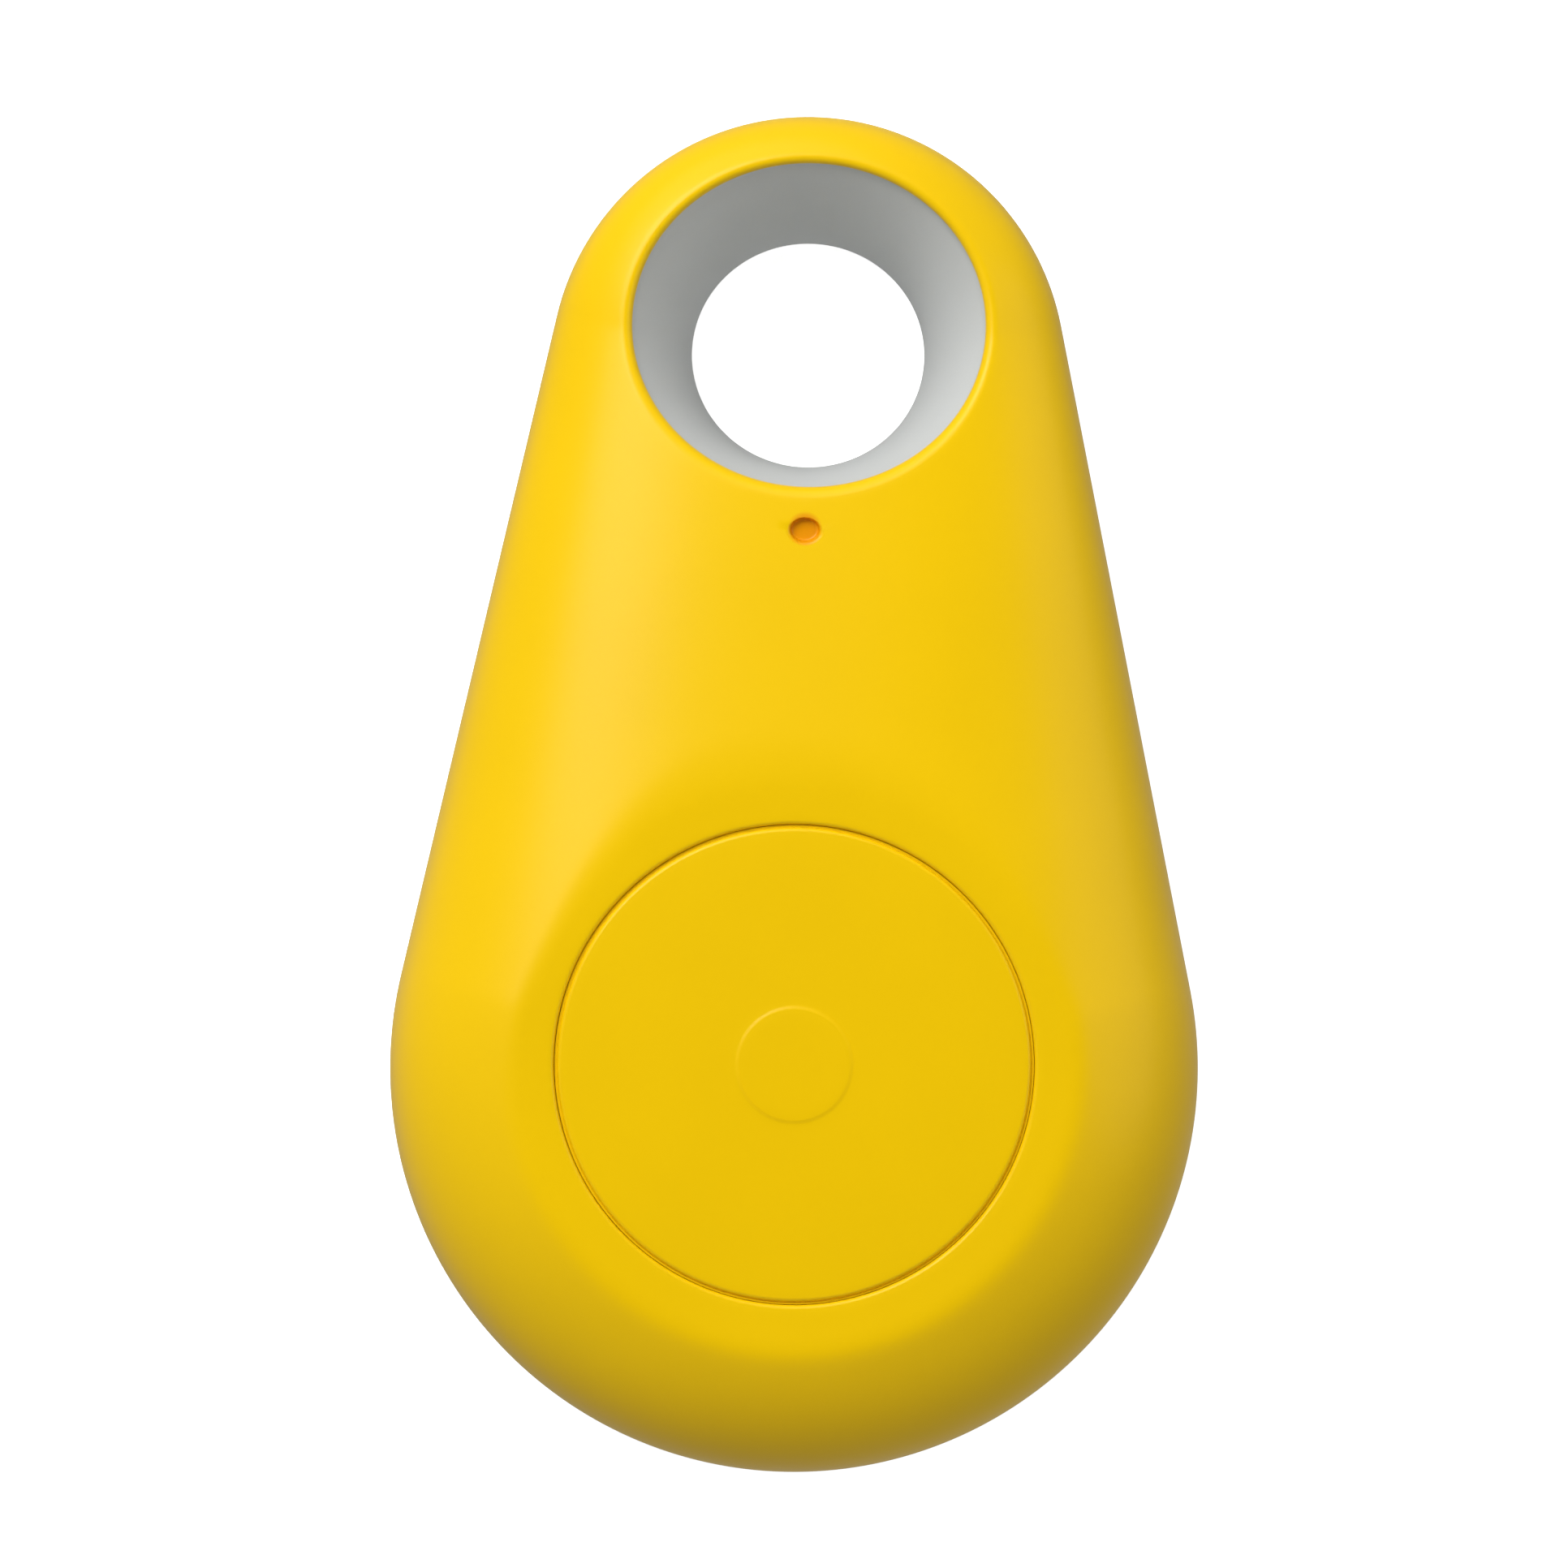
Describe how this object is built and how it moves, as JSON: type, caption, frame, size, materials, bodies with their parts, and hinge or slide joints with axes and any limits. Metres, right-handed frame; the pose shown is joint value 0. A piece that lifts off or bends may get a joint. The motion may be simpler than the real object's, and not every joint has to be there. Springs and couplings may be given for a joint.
{
  "type": "bluetooth tracker tag",
  "caption": "Teardrop key finder tag: domed two-part plastic case with a large press button, a lined key ring eye, a circuit board, a sounder and a coin cell inside.",
  "frame": {"origin": "on the flat back face, below the middle of the outline's bounding box", "axes": "+Y along the length towards the key ring eye, +Z out of the front where the button is, +X to the right seen from the front with the eye up"},
  "size_m": [0.031, 0.052, 0.011],
  "materials": {
    "cover_yellow": "satin moulded ABS, fine grain",
    "cover_white": "satin moulded ABS",
    "board_green": "solder mask over glass fibre board",
    "bright_steel": "bright rolled sheet",
    "nickel": "nickel plated steel",
    "tin": "tin plated",
    "gold": "gold flashed spring contact",
    "copper": "bare copper",
    "black_moulding": "moulded black plastic",
    "ceramic_tan": "fired ceramic",
    "led_white": "white moulding",
    "clear_resin": "clear cast resin",
    "magnet_grey": "sintered magnet",
    "foam_grey": "soft closed cell foam",
    "gasket_black": "moulded seal",
    "cathode_black": "pressed powder pellet",
    "separator_white": "thin felt",
    "lithium_grey": "dull soft metal"
  },
  "bodies": {
    "rear_case": {"rear_cover": "cover_white", "circuit_board": "board_green", "switch_base": "black_moulding", "switch_frame": "bright_steel", "switch_terminal_1": "tin", "switch_terminal_2": "tin", "switch_terminal_3": "tin", "switch_terminal_4": "tin", "radio_chip": "black_moulding", "crystal_base": "black_moulding", "crystal_lid": "nickel", "indicator_led": "led_white", "indicator_lens": "clear_resin", "sounder_case": "black_moulding", "sounder_base": "black_moulding", "sounder_diaphragm": "bright_steel", "sounder_magnet": "magnet_grey", "sounder_coil": "copper", "sounder_core": "bright_steel", "sounder_terminal_1": "tin", "sounder_terminal_2": "tin", "sounder_pad": "foam_grey", "driver_transistor": "black_moulding", "resistor_1": "black_moulding", "resistor_2": "black_moulding", "resistor_3": "black_moulding", "resistor_4": "black_moulding", "capacitor_1": "ceramic_tan", "capacitor_2": "ceramic_tan", "capacitor_3": "ceramic_tan", "capacitor_4": "ceramic_tan", "capacitor_5": "ceramic_tan", "capacitor_6": "ceramic_tan", "capacitor_7": "ceramic_tan", "antenna_trace": "copper", "battery_clip": "nickel", "negative_contact": "gold", "cell_can": "nickel", "cell_gasket": "gasket_black", "cell_cap": "bright_steel", "cell_cathode": "cathode_black", "cell_separator": "separator_white", "cell_lithium": "lithium_grey"},
    "front_case": {"front_cover": "cover_yellow"},
    "button": {"button_cap": "cover_yellow"},
    "plunger": {"switch_plunger": "black_moulding", "switch_dome": "nickel"}
  },
  "joints": [
    {"name": "case_lift", "type": "slide", "parent": "rear_case", "child": "front_case", "axis": [0, 0, 1], "range_m": [0, 0.016]},
    {"name": "button_press", "type": "slide", "parent": "front_case", "child": "button", "axis": [0, 0, -1], "range_m": [0, 0.0003], "stiffness_N_per_m": 6400},
    {"name": "plunger_travel", "type": "slide", "parent": "rear_case", "child": "plunger", "axis": [0, 0, -1], "range_m": [0, 0.0003], "deforming": ["switch_dome"]}
  ],
  "couplings": [
    {"joint": "plunger_travel", "follows": "button_press", "ratio": 1}
  ]
}
